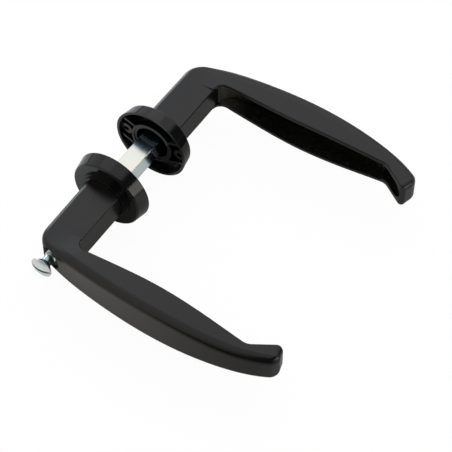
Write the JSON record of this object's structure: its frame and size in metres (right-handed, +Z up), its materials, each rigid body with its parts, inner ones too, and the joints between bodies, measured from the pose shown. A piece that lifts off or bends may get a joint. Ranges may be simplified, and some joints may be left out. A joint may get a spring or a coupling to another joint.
{
  "type": "adjustable door handle",
  "caption": "Pair of hollow black lever handles with round roses on a square spindle; one lever slides to suit the door and is drawn up by an axial screw.",
  "frame": {"origin": "centre of the rear rose on its door face, on the spindle axis", "axes": "+X along the levers from the spindle to their tips, +Y along the spindle towards the rear lever, +Z up"},
  "size_m": [0.114, 0.121, 0.0324],
  "materials": {
    "black_plastic": "semi-gloss moulded",
    "zinc_plated_steel": "bright zinc plated"
  },
  "bodies": {
    "rear_rose": {"rear_rose": "black_plastic"},
    "lever_and_spindle": {"rear_lever": "black_plastic", "spindle": "zinc_plated_steel"},
    "front_lever": {"front_lever": "black_plastic"},
    "front_rose": {"front_rose": "black_plastic"},
    "clamp_screw": {"clamp_screw": "zinc_plated_steel"}
  },
  "joints": [
    {"name": "lever_turn", "type": "hinge", "parent": "rear_rose", "child": "lever_and_spindle", "pos_m": [0, 0, 0], "axis": [0, 1, 0], "range_deg": [-45, 45]},
    {"name": "front_lever_slide", "type": "slide", "parent": "lever_and_spindle", "child": "front_lever", "axis": [0, 1, 0], "range_m": [-0.003, 0.012]},
    {"name": "front_rose_turn", "type": "hinge", "parent": "front_lever", "child": "front_rose", "pos_m": [0, -0.0243, 0], "axis": [0, 1, 0], "range_deg": [-45, 45]},
    {"name": "clamp_screw_travel", "type": "slide", "parent": "front_lever", "child": "clamp_screw", "axis": [0, 1, 0], "range_m": [0, 0.0064]}
  ],
  "couplings": [
    {"joint": "front_rose_turn", "follows": "lever_turn", "ratio": -1}
  ]
}
